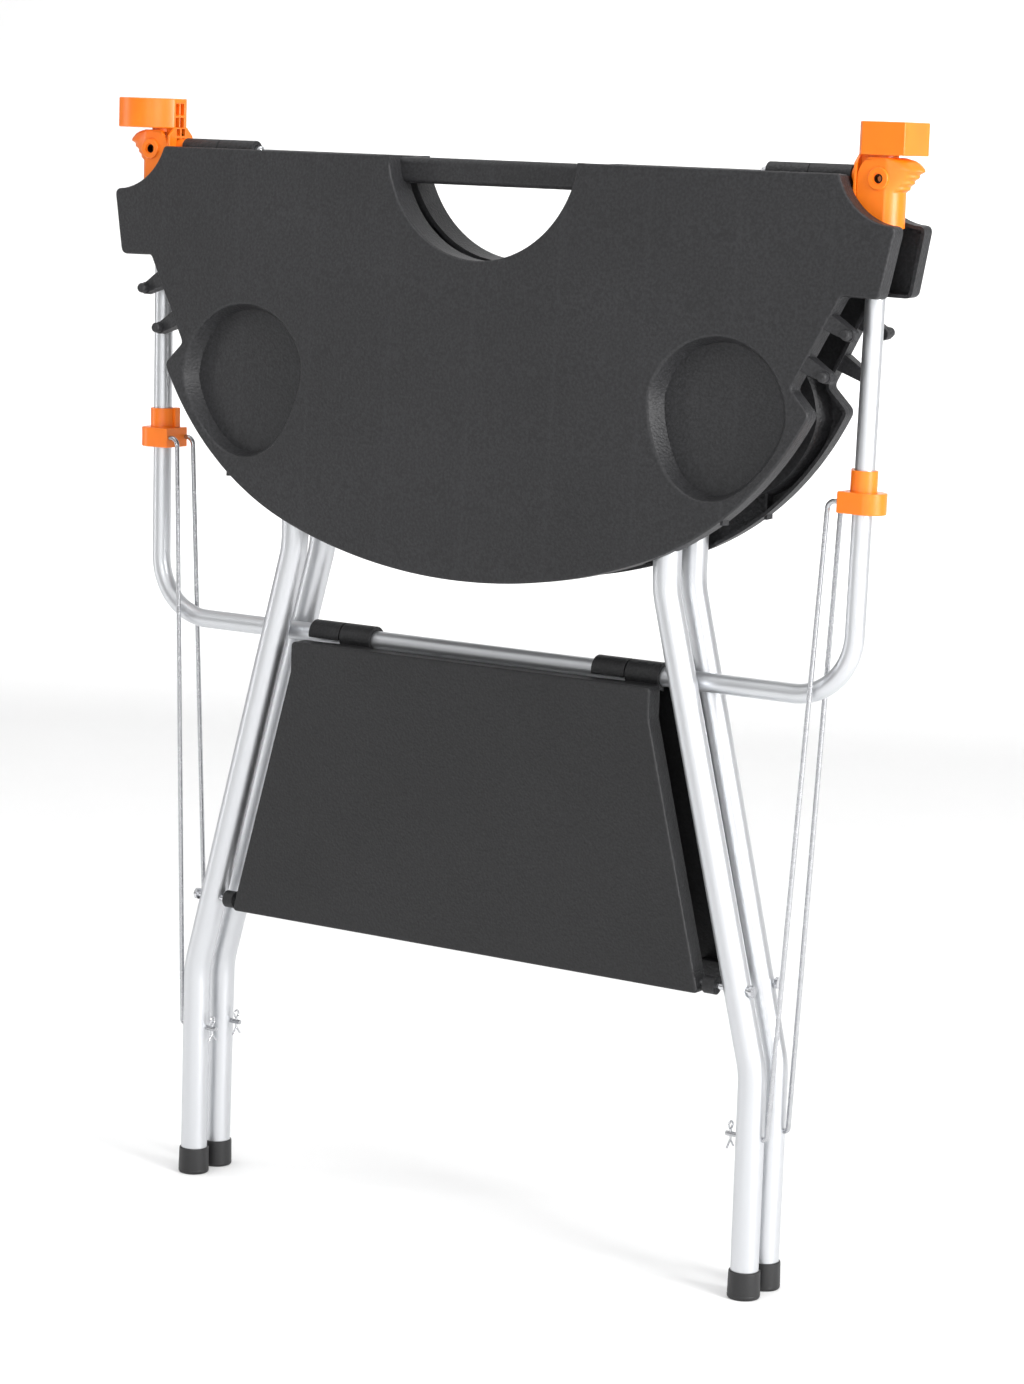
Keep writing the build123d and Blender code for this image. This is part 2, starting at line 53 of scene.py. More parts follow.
MM = 0.001
JOINTS = {joint["name"]: joint for joint in frame["joints"]}


def pivot(joint):
    """Where a joint's axis is, in millimetres."""
    return [value / MM for value in JOINTS[joint]["pos_m"]]


HINGE_Z = pivot("table_fold")[2]
BAR_Z = pivot("front_shelf_pivot")[2]
RAIL_Y, RAIL_Z = -pivot("front_leg_pivot")[1], pivot("front_leg_pivot")[2]
PIVOT_X, PIVOT_Z = pivot("right_lever_pivot")[0], pivot("right_lever_pivot")[2]
ROD_PIN_Y, ROD_PIN_Z = pivot("front_right_rod_pivot")[1:]
SLIDE = JOINTS["right_collar_slide"]["axis"]
SPLAY = SLIDE[0] / SLIDE[2]
# The upright is this far from the middle at this height, and splays outwards from there
UPRIGHT_X, UPRIGHT_Z = 375.5, 720
# Folded, each table half hangs this far from plumb
PANEL_TILT = radians(2.48)
# Middle of a foot, and how far the leg leans back for each millimetre up
LEG_X, LEG_FLOOR_Y = 305, 17.8
LEG_LEAN = (RAIL_Y - LEG_FLOOR_Y) / RAIL_Z

# The object is the same front and rear, and nearly the same left and right
HALF_TURN = Matrix.Rotation(pi, 4, "Z")
MIRROR = Matrix.Scale(-1, 4, (1, 0, 0))
CORNERS = {"front_right": Matrix.Identity(4), "front_left": MIRROR,
           "rear_left": HALF_TURN, "rear_right": HALF_TURN @ MIRROR}


class SawhorseSizes(bpy.types.PropertyGroup):
    """Sizes of the pieces that a maker would change."""
    face: bpy.props.FloatProperty(
        name="Work face", description="Hinge line to the work face", default=32.7 * MM, unit="LENGTH")
    rim: bpy.props.FloatProperty(
        name="Rim", description="Depth of the rim of a table half", default=15.6 * MM, unit="LENGTH")
    wall: bpy.props.FloatProperty(
        name="Wall", description="Thickness of the moulded walls", default=3.0 * MM, unit="LENGTH")
    cup_depth: bpy.props.FloatProperty(
        name="Cup depth", description="Depth of the cup recesses", default=14.0 * MM, unit="LENGTH")
    edge: bpy.props.FloatProperty(
        name="Edge radius", description="Radius of the moulded edges", default=2.2 * MM, unit="LENGTH")
    leg_radius: bpy.props.FloatProperty(
        name="Leg radius", description="Radius of the leg tube", default=12.45 * MM, unit="LENGTH")
    frame_radius: bpy.props.FloatProperty(
        name="Frame radius", description="Radius of the centre tube", default=8.6 * MM, unit="LENGTH")
    rod_radius: bpy.props.FloatProperty(
        name="Rod radius", description="Radius of the brace rods", default=2.2 * MM, unit="LENGTH")


class SawhorseFinish(bpy.types.PropertyGroup):
    """Colours as sRGB hex values."""
    polyethylene: bpy.props.StringProperty(
        name="Tops and shelves", description="Charcoal moulded polyethylene", default="#28282A")
    nylon: bpy.props.StringProperty(
        name="Fittings", description="Orange moulded nylon", default="#F47A12")
    zinc: bpy.props.StringProperty(
        name="Tubes", description="Zinc-coated steel tube", default="#C9CACC")
    foot: bpy.props.StringProperty(
        name="Feet", description="Black slip-on feet", default="#1A1A1B")
    backdrop: bpy.props.StringProperty(
        name="Backdrop", description="Pale floor and cove", default="#F6F6F6")


# ------------------------------------------------------------------ modelling tools


def select_nothing():
    """Object mode, with nothing selected."""
    if bpy.context.mode != "OBJECT":
        bpy.ops.object.mode_set(mode="OBJECT")
    bpy.ops.object.select_all(action="DESELECT")


def activate(piece):
    """Select one piece and make it the active one."""
    select_nothing()
    piece.select_set(True)
    bpy.context.view_layer.objects.active = piece


def edit(piece, kind, wanted=None):
    """Edit mode on a piece, with all of it selected or only the faces or edges that wanted picks."""
    activate(piece)
    bpy.ops.object.mode_set(mode="EDIT")
    bpy.ops.mesh.select_mode(type=kind)
    bpy.ops.mesh.select_all(action="DESELECT" if wanted else "SELECT")
    if wanted:
        bpy.ops.object.mode_set(mode="OBJECT")
        for part in piece.data.polygons if kind == "FACE" else piece.data.edges:
            part.select = wanted(part)
        bpy.ops.object.mode_set(mode="EDIT")


def apply_place(piece):
    """Put a piece's place, turn and scale into its mesh."""
    activate(piece)
    bpy.ops.object.transform_apply(location=True, rotation=True, scale=True)


def place(piece, matrix):
    """Move a piece into the frame, with its place in its mesh and its faces outwards."""
    activate(piece)
    piece.matrix_world = matrix @ piece.matrix_world
    apply_place(piece)
    edit(piece, "FACE")
    bpy.ops.mesh.normals_make_consistent(inside=False)
    bpy.ops.object.mode_set(mode="OBJECT")
    return piece


def twin(piece, name, matrix):
    """A copy with its own mesh, turned or mirrored into its place."""
    activate(piece)
    bpy.ops.object.duplicate()
    copy = bpy.context.active_object
    copy.name = name
    return place(copy, matrix)


def lay(vertices, ring):
    """Move vertices, in their order, onto the points of an outline in millimetres."""
    for vertex, point in zip(vertices, ring):
        vertex.co = Vector(point) * MM


def stack(name, rings):
    """A closed solid through a stack of like outlines."""
    select_nothing()
    bpy.ops.mesh.primitive_circle_add(vertices=len(rings[0]), radius=MM, fill_type="NOTHING")
    piece = bpy.context.active_object
    piece.name = name
    lay(piece.data.vertices, rings[0])
    for ring in rings[1:]:
        bpy.ops.object.mode_set(mode="EDIT")
        bpy.ops.mesh.select_mode(type="VERT")
        bpy.ops.mesh.extrude_region_move(TRANSFORM_OT_translate={"value": (0, 0, MM)})
        bpy.ops.object.mode_set(mode="OBJECT")
        lay([vertex for vertex in piece.data.vertices if vertex.select], ring)
    edit(piece, "VERT")
    bpy.ops.mesh.fill_holes(sides=0)
    bpy.ops.mesh.normals_make_consistent(inside=False)
    bpy.ops.object.mode_set(mode="OBJECT")
    return piece


def slab(name, outline, low, high):
    """A flat outline given a thickness from z = low to z = high."""
    return stack(name, [[(x, y, z) for x, y in outline] for z in (low, high)])


def block(name, low, high):
    """A block between two corners."""
    low, high = Vector(low) * MM, Vector(high) * MM
    select_nothing()
    bpy.ops.mesh.primitive_cube_add(size=1, location=(low + high) / 2)
    piece = bpy.context.active_object
    piece.name = name
    piece.scale = high - low
    apply_place(piece)
    return piece


def bar(name, radius, start, end, sides=48):
    """A round bar between two points."""
    start, end = Vector(start) * MM, Vector(end) * MM
    select_nothing()
    bpy.ops.mesh.primitive_cylinder_add(
        vertices=sides, radius=radius * MM, depth=(end - start).length, location=(start + end) / 2,
        rotation=(end - start).to_track_quat("Z", "Y").to_euler())
    piece = bpy.context.active_object
    piece.name = name
    apply_place(piece)
    return piece


def tube(name, radius, corners, bends, sides=40):
    """A tube shaped as on a bender: straight runs, and an even bend at each inner corner."""
    corners = [Vector(corner) * MM for corner in corners]
    here, heading = corners[0], (corners[1] - corners[0]).normalized()
    select_nothing()
    bpy.ops.mesh.primitive_circle_add(
        vertices=sides, radius=radius * MM, fill_type="NOTHING", location=here,
        rotation=heading.to_track_quat("Z", "Y").to_euler())
    piece = bpy.context.active_object
    piece.name = name
    apply_place(piece)
    edit(piece, "VERT")
    for corner, following, bend in zip(corners[1:-1], corners[2:], bends):
        onward = (following - corner).normalized()
        turn = heading.angle(onward)
        start = corner - heading * bend * MM * tan(turn / 2)
        axis = heading.cross(onward).normalized()
        bpy.ops.mesh.extrude_region_move(TRANSFORM_OT_translate={"value": start - here})
        bpy.ops.mesh.spin(
            steps=max(5, round(degrees(turn) / 4)), angle=-turn,
            center=start + axis.cross(heading) * bend * MM, axis=axis)
        here = corner + onward * bend * MM * tan(turn / 2)
        heading = onward
    bpy.ops.mesh.extrude_region_move(TRANSFORM_OT_translate={"value": corners[-1] - here})
    bpy.ops.mesh.select_all(action="SELECT")
    bpy.ops.mesh.remove_doubles(threshold=0.001 * MM)
    bpy.ops.mesh.fill_holes(sides=0)
    bpy.ops.mesh.normals_make_consistent(inside=False)
    bpy.ops.object.mode_set(mode="OBJECT")
    return piece


def join(name, pieces):
    """Make one object of several."""
    activate(pieces[0])
    for piece in pieces:
        piece.select_set(True)
    bpy.ops.object.join()
    pieces[0].name = name
    return pieces[0]


def carve(piece, tool, operation="DIFFERENCE"):
    """Cut a tool from a piece, weld it on, or keep what they share."""
    activate(piece)
    bpy.ops.object.modifier_add(type="BOOLEAN")
    change = piece.modifiers[-1]
    change.operation = operation
    change.object = tool
    change.solver = "EXACT"
    bpy.ops.object.modifier_apply(modifier=change.name)
    bpy.data.objects.remove(tool)
    return piece


def soften(piece, width, wanted=None, segments=3, sharp=30.0):
    """Round off the sharp edges of a piece, or those whose two ends wanted accepts."""
    edit(piece, "EDGE")
    bpy.ops.mesh.select_all(action="DESELECT")
    bpy.ops.mesh.edges_select_sharp(sharpness=radians(sharp))
    bpy.ops.object.mode_set(mode="OBJECT")
    if wanted:
        points = piece.data.vertices
        for part in (*piece.data.polygons, *points):
            part.select = False
        for edge in piece.data.edges:
            if edge.select:
                edge.select = all(wanted(points[end].co / MM) for end in edge.vertices)
    bpy.ops.object.mode_set(mode="EDIT")
    bpy.ops.mesh.bevel(
        offset=width * MM, offset_type="OFFSET", segments=segments, affect="EDGES", clamp_overlap=False,
        loop_slide=True)
    bpy.ops.object.mode_set(mode="OBJECT")
    return piece


def split_faces(piece, wanted):
    """Split big faces into triangles, so that the holes in them stay open."""
    edit(piece, "FACE", wanted)
    bpy.ops.mesh.quads_convert_to_tris()
    bpy.ops.object.mode_set(mode="OBJECT")


def dress(piece, body, material, slot, *nodes, smooth=35.0):
    """Shade a finished piece, give it its material, and let it ride in place of its CAD nodes."""
    activate(piece)
    bpy.ops.object.shade_smooth_by_angle(angle=radians(smooth))
    bpy.ops.object.modifier_add(type="WEIGHTED_NORMAL")
    piece.modifiers[-1].keep_sharp = True
    bpy.ops.object.modifier_apply(modifier=piece.modifiers[-1].name)
    piece.data.materials.clear()
    piece.data.materials.append(material)
    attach(piece, body)
    if nodes:
        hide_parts(*nodes)


def arc(start, middle, end, steps):
    """Points of the arc through three points."""
    (ax, ay), (bx, by), (cx, cy) = start, middle, end
    scale = 2 * (ax * (by - cy) + bx * (cy - ay) + cx * (ay - by))
    a, b, c = ax * ax + ay * ay, bx * bx + by * by, cx * cx + cy * cy
    centre = Vector(((a * (by - cy) + b * (cy - ay) + c * (ay - by)) / scale,
                     (a * (cx - bx) + b * (ax - cx) + c * (bx - ax)) / scale))
    first = Vector(start) - centre
    sweep = first.angle_signed(Vector(end) - centre)
    halfway = first.angle_signed(Vector(middle) - centre)
    if sweep * halfway < 0:
        sweep -= 2 * pi * (1 if sweep > 0 else -1)
    turns = [Matrix.Rotation(-sweep * step / steps, 2) for step in range(steps + 1)]
    return [tuple(centre + turn @ first) for turn in turns]


def eased(points, corner, reach, steps=5):
    """Replace one corner of an open outline by a curve that starts and ends reach away."""
    at = min(range(len(points)), key=lambda i: (Vector(points[i]) - Vector(corner)).length)
    corner = Vector(points[at])
    before = at - 1
    while (Vector(points[before]) - corner).length < 1.2 * reach:
        before -= 1
    after = at + 1
    while (Vector(points[after]) - corner).length < 1.2 * reach:
        after += 1
    first = corner + (Vector(points[before]) - corner).normalized() * reach
    last = corner + (Vector(points[after]) - corner).normalized() * reach
    curve = []
    for step in range(steps + 1):
        t = step / steps
        curve.append(tuple(first.lerp(corner, t).lerp(corner.lerp(last, t), t)))
    return points[:before + 1] + curve + points[after:]


def both_sides(right):
    """A closed outline from its right side, which runs from x = 0 to x = 0."""
    return right + [(-x, y) for x, y in reversed(right[1:-1])]


def facing(tilt, height):
    """Frame of an upright panel: x along it, y up it, z out of its front face."""
    return Matrix(((1, 0, 0, 0), (0, sin(tilt), -cos(tilt), 0),
                   (0, cos(tilt), sin(tilt), height * MM), (0, 0, 0, 1)))


def upright(height):
    """Frame on the axis of the splayed right upright at a height: z up the tube, x outwards."""
    up = Vector((SPLAY, 0, 1)).normalized()
    out = Vector((0, 1, 0)).cross(up)
    return Matrix(((out.x, 0, up.x, upright_x(height) * MM), (out.y, 1, up.y, 0),
                   (out.z, 0, up.z, height * MM), (0, 0, 0, 1)))


def upright_x(height):
    """How far the middle of the right upright is from the centre at a height."""
    return UPRIGHT_X + SPLAY * (height - UPRIGHT_Z)


# ------------------------------------------------------------------------ materials


def colour(code):
    """An sRGB hex value as linear red, green, blue and alpha."""
    parts = [int(code[i:i + 2], 16) / 255 for i in (1, 3, 5)]
    return [c / 12.92 if c <= 0.04045 else ((c + 0.055) / 1.055) ** 2.4 for c in parts] + [1.0]


def add_node(tree, kind, settings=None, inputs=None):
    """Add one node with its settings; an input takes a value or a link from a socket."""
    new = tree.nodes.new(kind)
    for name, value in (settings or {}).items():
        setattr(new, name, value)
    for name, value in (inputs or {}).items():
        if isinstance(value, bpy.types.NodeSocket):
            tree.links.new(value, new.inputs[name])
        else:
            new.inputs[name].default_value = value
    return new


def new_material(name, constants):
    """A material with one Principled shader, its constants set on its own sockets."""
    material = bpy.data.materials.new(name)
    material.use_nodes = True
    tree = material.node_tree
    shader = tree.nodes["Principled BSDF"]
    for socket, value in constants.items():
        shader.inputs[socket].default_value = value
    place_node = add_node(tree, "ShaderNodeTexCoord")
    return material, tree, shader, place_node.outputs["Object"]


def set_ramp(node, stops):
    """Set a colour ramp's stops from (position, colour) pairs."""
    ramp = node.color_ramp
    while len(ramp.elements) < len(stops):
        ramp.elements.new(1.0)
    for element, (position, value) in zip(ramp.elements, stops):
        element.position = position
        element.color = value
    return node


def shade(value, factor):
    """A colour made lighter or darker."""
    return [min(1.0, channel * factor) for channel in value[:3]] + [1.0]


RIB_SPACING = 88.0


def moulded_polyethylene(name, code, ribs):
    """Blow-moulded HDPE, charcoal: waxy, with a leather grain and faint sink lines over the ribs, drawn
    as painted sheen.
    """
    material, tree, shader, at = new_material(
        name, {"Roughness": 0.52, "IOR": 1.5, "Specular IOR Level": 0.42})
    # Painted shade: the shelves, and the washers that share their material, get 0.6 of the tops' colour,
    # for the less light that falls on the shelves lower down
    base = shade(colour(code), 1.0 if ribs else 0.6)
    # Leather grain: pebbles 1.1 mm across on the real mould, drawn at 2.2 mm so that they show
    grain = add_node(tree, "ShaderNodeTexVoronoi", {"feature": "SMOOTH_F1"},
                     {"Vector": at, "Scale": 1 / (2.2 * MM), "Smoothness": 0.4})
    fine = add_node(tree, "ShaderNodeTexNoise", None,
                    {"Vector": at, "Scale": 1 / (2.6 * MM), "Detail": 3.0})
    # Flow marks of the melt, some 150 mm across
    flow = add_node(tree, "ShaderNodeTexNoise", None,
                    {"Vector": at, "Scale": 1 / (150 * MM), "Detail": 2.0})
    tone = set_ramp(add_node(tree, "ShaderNodeValToRGB", None, {"Fac": flow.outputs["Fac"]}),
                    [(0.3, shade(base, 0.88)), (0.7, shade(base, 1.14))])
    speck = set_ramp(add_node(tree, "ShaderNodeValToRGB", None, {"Fac": fine.outputs["Fac"]}),
                     [(0.38, [0.45, 0.45, 0.45, 1.0]), (0.64, [1.0, 1.0, 1.0, 1.0])])
    mix = add_node(tree, "ShaderNodeMixRGB", {"blend_type": "MULTIPLY"},
                   {"Fac": 0.8, "Color1": tone.outputs["Color"], "Color2": speck.outputs["Color"]})
    surface = mix.outputs["Color"]
    if ribs:
        # Sink lines over the ribs behind the skin, drawn as painted sheen: one every 88 mm across, just
        # lighter than the skin
        split = add_node(tree, "ShaderNodeSeparateXYZ", None, {"Vector": at})
        wave = add_node(tree, "ShaderNodeMath", {"operation": "PINGPONG"},
                        {0: split.outputs["X"], 1: RIB_SPACING / 2 * MM})
        line = set_ramp(add_node(tree, "ShaderNodeValToRGB", None, {"Fac": wave.outputs["Value"]}),
                        [(0.0, [0.12, 0.12, 0.12, 1.0]), (0.0022, [0.0, 0.0, 0.0, 1.0])])
        lighter = add_node(tree, "ShaderNodeMixRGB", {"blend_type": "MIX"},
                           {"Fac": line.outputs["Color"], "Color1": surface, "Color2": shade(base, 1.8)})
        surface = lighter.outputs["Color"]
    tree.links.new(surface, shader.inputs["Base Color"])
    height = add_node(tree, "ShaderNodeMath", {"operation": "ADD"},
                      {0: grain.outputs["Distance"], 1: fine.outputs["Fac"]})
    bump = add_node(tree, "ShaderNodeBump", None,
                    {"Height": height.outputs["Value"], "Strength": 0.7, "Distance": 0.4 * MM})
    tree.links.new(bump.outputs["Normal"], shader.inputs["Normal"])
    return material


def moulded_nylon(code):
    """Injection-moulded nylon, orange: even satin colour, with light scattered just under its skin."""
    material, tree, shader, at = new_material("moulded_nylon", {
        "Roughness": 0.34, "IOR": 1.53, "Subsurface Weight": 0.12, "Subsurface Scale": 2.0 * MM,
        "Subsurface Radius": (1.0, 0.35, 0.12)})
    base = colour(code)
    # Slight clouding of the pigment, 25 mm across
    cloud = add_node(tree, "ShaderNodeTexNoise", None,
                     {"Vector": at, "Scale": 1 / (25 * MM), "Detail": 2.0})
    tone = set_ramp(add_node(tree, "ShaderNodeValToRGB", None, {"Fac": cloud.outputs["Fac"]}),
                    [(0.3, shade(base, 0.95)), (0.7, shade(base, 1.05))])
    tree.links.new(tone.outputs["Color"], shader.inputs["Base Color"])
    # Spark-eroded mould finish of 0.6 mm
    grit = add_node(tree, "ShaderNodeTexNoise", None,
                    {"Vector": at, "Scale": 1 / (0.6 * MM), "Detail": 2.0})
    bump = add_node(tree, "ShaderNodeBump", None,
                    {"Height": grit.outputs["Fac"], "Strength": 0.1, "Distance": 0.08 * MM})
    tree.links.new(bump.outputs["Normal"], shader.inputs["Normal"])
    return material


def coated_steel(name, code, roughness, spangle):
    """Zinc-coated drawn steel: bright, with a soft cloud of spangle that breaks up its reflections."""
    material, tree, shader, at = new_material(name, {"Metallic": 1.0})
    base = colour(code)
    cloud = add_node(tree, "ShaderNodeTexNoise", None,
                     {"Vector": at, "Scale": 1 / (spangle * MM), "Detail": 4.0, "Roughness": 0.6})
    tone = set_ramp(add_node(tree, "ShaderNodeValToRGB", None, {"Fac": cloud.outputs["Fac"]}),
                    [(0.3, shade(base, 0.86)), (0.7, shade(base, 1.06))])
    tree.links.new(tone.outputs["Color"], shader.inputs["Base Color"])
    gloss = add_node(tree, "ShaderNodeMapRange", None,
                     {"Value": cloud.outputs["Fac"],
                      "To Min": roughness * 0.85, "To Max": roughness * 1.2})
    tree.links.new(gloss.outputs["Result"], shader.inputs["Roughness"])
    return material


def foot_plastic(code):
    """Soft black PVC: dull, with a fine eroded grain."""
    material, tree, shader, at = new_material("soft_pvc", {"Roughness": 0.5, "IOR": 1.52})
    base = colour(code)
    # Eroded mould finish: 0.6 mm on the real cap, drawn at 1.2 mm so that it shows
    grit = add_node(tree, "ShaderNodeTexNoise", None,
                    {"Vector": at, "Scale": 1 / (1.2 * MM), "Detail": 3.0})
    tone = set_ramp(add_node(tree, "ShaderNodeValToRGB", None, {"Fac": grit.outputs["Fac"]}),
                    [(0.3, shade(base, 0.8)), (0.7, shade(base, 1.3))])
    tree.links.new(tone.outputs["Color"], shader.inputs["Base Color"])
    bump = add_node(tree, "ShaderNodeBump", None,
                    {"Height": grit.outputs["Fac"], "Strength": 0.2, "Distance": 0.1 * MM})
    tree.links.new(bump.outputs["Normal"], shader.inputs["Normal"])
    return material


def stage_paint(code):
    """Matt backdrop paint, pale, with a breath of roller texture."""
    material, tree, shader, at = new_material(
        "stage_paint", {"Roughness": 0.9, "Specular IOR Level": 0.1})
    base = colour(code)
    # Roller marks, 125 mm across
    roller = add_node(tree, "ShaderNodeTexNoise", None, {"Vector": at, "Scale": 8.0})
    tone = set_ramp(add_node(tree, "ShaderNodeValToRGB", None, {"Fac": roller.outputs["Fac"]}),
                    [(0.3, shade(base, 0.995)), (0.7, shade(base, 1.0))])
    tree.links.new(tone.outputs["Color"], shader.inputs["Base Color"])
    return material


def made(name, maker, *values):
    """A material made once and found again by its name."""
    return bpy.data.materials.get(name) or maker(*values)


def plastic(context, ribs=False):
    """Polyethylene of the tops, with sink lines over their ribs drawn as painted sheen, or of the
    shelves, drawn darker as painted shade.
    """
    name = "moulded_polyethylene_ribbed" if ribs else "moulded_polyethylene"
    return made(name, moulded_polyethylene, name, context.scene.sawhorse_finish.polyethylene, ribs)


def nylon(context):
    """Nylon of the brackets, levers and collars."""
    return made("moulded_nylon", moulded_nylon, context.scene.sawhorse_finish.nylon)


def steel(name, code, roughness, spangle):
    """Coated steel of one finish, made once; its spangle is in millimetres."""
    return made(name, coated_steel, name, code, roughness, spangle)


def zinc_tube(context):
    """Galvanised tube of the legs and the centre frame."""
    return steel("galvanised_tube", context.scene.sawhorse_finish.zinc, 0.2, 9.0)


# ------------------------------------------------------------------------- the pieces


# Top edge of a half, just below its hinge line, and the thickness of the skin behind its face
TOP_V, SKIN = -0.6, 3.5


def table_outline():
    """A table half: straight top, notched ends, peg edges, teeth and round lower edge."""
    corner, ear_top, ear_low = (355.3, TOP_V), (411.5, -41.5), (399.8, -102.0)
    edge_top, edge_low = (365.0, -101.3), (322.9, -180.7)
    tooth, low_side = (342.6, -200.8), (187.2, -339.0)
    right = [(0.0, TOP_V), (112.0, TOP_V)]
    right += arc(corner, (368.5, -23.5), ear_top, 14)
    right += [ear_low, edge_top, edge_low]
    right += arc(tooth, (300.4, -262.6), low_side, 26)[:-1]
    right += arc(low_side, (95.0, -364.2), (0.0, -372.6), 18)
    for sharp, reach in ((corner, 3.0), (ear_top, 7.0), (ear_low, 6.0),
                         (edge_top, 3.0), (edge_low, 4.0), (tooth, 6.0)):
        right = eased(right, sharp, reach)
    return both_sides(right)


# Middle and radius of a cup, which way its blunt point lies, and how its floor is drawn in
CUP_X, CUP_V, CUP_R = 251.3, -210.0, 69.2
CUP_AXIS = radians(-99)
CUP_FLOOR = (0.866, 0.93)
CUP_STEPS = 72


def cup_outline(side, height, grow=0.0, narrow=(1.0, 1.0)):
    """Cup recess: round above, and drawn to a blunt point below that leans inwards."""
    ring = []
    for step in range(CUP_STEPS):
        angle = 2 * pi * step / CUP_STEPS
        off_axis = abs((angle - CUP_AXIS + pi) % (2 * pi) - pi)
        reach = CUP_R if off_axis > radians(99) else 67.5 + 3.9 * cos(3 * off_axis)
        reach += grow
        x, v = reach * cos(angle) * narrow[0], reach * sin(angle) * narrow[1]
        ring.append((side * (CUP_X + x), CUP_V + v, height))
    return ring


def slot_outline(radius, top):
    """Half-round hand slot, closed along a line at height top."""
    centre = 11.2
    across = (radius ** 2 - (TOP_V - centre) ** 2) ** 0.5
    points = arc((across, TOP_V), (0.0, centre - radius), (-across, TOP_V), 48)
    if top > TOP_V:
        points += [(-across - 2.0, top), (across + 2.0, top)]
    return points


# Right-hand pegs, and the slope of the edge they stand on
PEGS = ((372.0, -132.6), (353.0, -168.6))
EDGE_SLOPE = radians(-26.8)


def peg_arm(side, x, v, back):
    """Tapered arm that stands square to the slanting edge, with a domed peg across its tip."""
    tongue = [(-24.0, 8.0), (-18.0, 7.6)] + arc((1.0, 5.4), (6.4, 0.0), (1.0, -5.4), 12)
    tongue += [(-18.0, -7.6), (-24.0, -8.0)]
    lower = [(px, py, back + 1.5) for px, py in tongue]
    # The arm is narrower at its front, and rises where it meets the half
    upper = [(px, py * 0.9, back + 12.8 - 0.1 * px if px < -10 else back + 11.5) for px, py in tongue]
    arm = soften(stack("arm", [lower, upper]), 0.9, segments=2)
    peg = bar("peg", 4.6, (0, 0, back + 6), (0, 0, back + 19.6), 32)
    soften(peg, 2.6, lambda point: point.z > back + 19, segments=4)
    collar = soften(bar("peg_root", 5.6, (0, 0, back + 6), (0, 0, back + 12.4), 32), 0.6, segments=2)
    arm = join("arm", [arm, peg, collar])
    slope = Matrix.Rotation(EDGE_SLOPE, 4, "Z")
    place(arm, Matrix.Translation(Vector((x, v, 0)) * MM) @ slope)
    if side < 0:
        place(arm, MIRROR)
    return arm


def knuckle(low, high):
    """One hinge knuckle on its web."""
    outer, bore = 8.5, 4.1
    web = soften(block("web", (low, -outer, 0.5), (high, -1.5, 20.0)), 0.8, segments=2)
    barrel = bar("barrel", outer, (low, 0, 0), (high, 0, 0), 48)
    carve(barrel, bar("bore", bore, (low - 5, 0, 0), (high + 5, 0, 0), 32))
    soften(barrel, 0.9, segments=2)
    return join("knuckle", [web, barrel])


def saddle(x, v, off, inner):
    """Bearing block that the leg rail turns in."""
    half_x, half_v, bore = 15, 20, 12.6
    shape = block("saddle", (x - half_x, v - half_v, -4.5), (x + half_x, v + half_v, inner + 1))
    carve(shape, bar("bore", bore, (x - 20, v, off), (x + 20, v, off), 48))
    return soften(shape, 0.8, segments=2)


